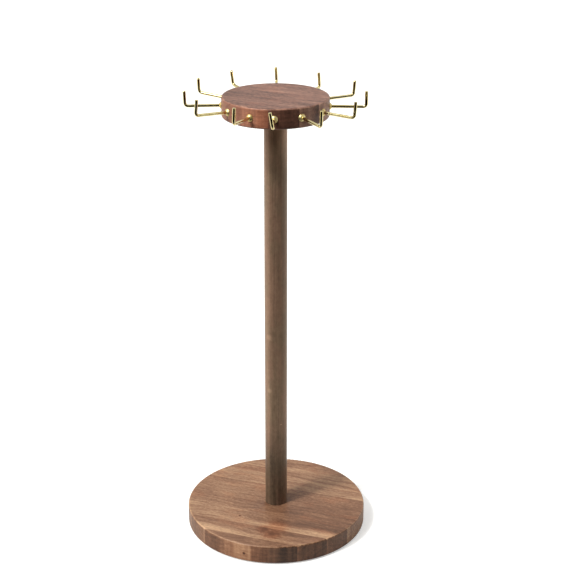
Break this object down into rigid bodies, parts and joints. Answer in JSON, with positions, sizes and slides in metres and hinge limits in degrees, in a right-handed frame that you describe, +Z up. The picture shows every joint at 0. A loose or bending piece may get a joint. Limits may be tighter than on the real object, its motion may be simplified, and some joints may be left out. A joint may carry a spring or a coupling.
{
  "type": "mug tree",
  "caption": "Free-standing wooden hook stand: round base, dowel post and a round disc that turns on a bearing and carries L-shaped brass hooks round its rim.",
  "frame": {"origin": "on the table, at the centre of the base, in the plane of the felt pads' undersides", "axes": "+Z up along the post; -Y towards the front hook; +X to the right when seen from the front"},
  "size_m": [0.18, 0.18, 0.4525],
  "materials": {
    "base_wood": "oiled, satin",
    "disc_wood": "oiled, satin",
    "post_wood": "stained dark, satin",
    "hook_brass": "polished",
    "collar_brass": "polished",
    "felt": "pressed felt",
    "zinc_steel": "zinc plated",
    "bearing_steel": "ground and polished",
    "shield_steel": "stamped",
    "cage_brass": "stamped"
  },
  "bodies": {
    "stand": {"base_board": "base_wood", "felt_pads": "felt", "post": "post_wood", "base_screw": "zinc_steel", "pivot_stud": "zinc_steel", "spacer_washers": "zinc_steel", "pivot_nut": "zinc_steel", "bearing_inner_race": "bearing_steel"},
    "carousel": {"top_disc": "disc_wood", "bearing_outer_race": "bearing_steel", "bearing_shields": "shield_steel", "hook_01": "hook_brass", "hook_02": "hook_brass", "hook_03": "hook_brass", "hook_04": "hook_brass", "hook_05": "hook_brass", "hook_06": "hook_brass", "hook_07": "hook_brass", "hook_08": "hook_brass", "hook_09": "hook_brass", "hook_10": "hook_brass", "hook_11": "hook_brass", "hook_12": "hook_brass", "collar_01": "collar_brass", "collar_02": "collar_brass", "collar_03": "collar_brass", "collar_04": "collar_brass", "collar_05": "collar_brass", "collar_06": "collar_brass", "collar_07": "collar_brass", "collar_08": "collar_brass", "collar_09": "collar_brass", "collar_10": "collar_brass", "collar_11": "collar_brass", "collar_12": "collar_brass"},
    "ball_set": {"bearing_cage": "cage_brass", "bearing_balls": "bearing_steel"}
  },
  "joints": [
    {"name": "carousel_spin", "type": "hinge", "parent": "stand", "child": "carousel", "pos_m": [0, 0, 0.4355], "axis": [0, 0, 1], "continuous": true},
    {"name": "ball_set_spin", "type": "hinge", "parent": "stand", "child": "ball_set", "pos_m": [0, 0, 0.4295], "axis": [0, 0, 1], "continuous": true}
  ],
  "couplings": [
    {"joint": "ball_set_spin", "follows": "carousel_spin", "ratio": 0.6323}
  ]
}
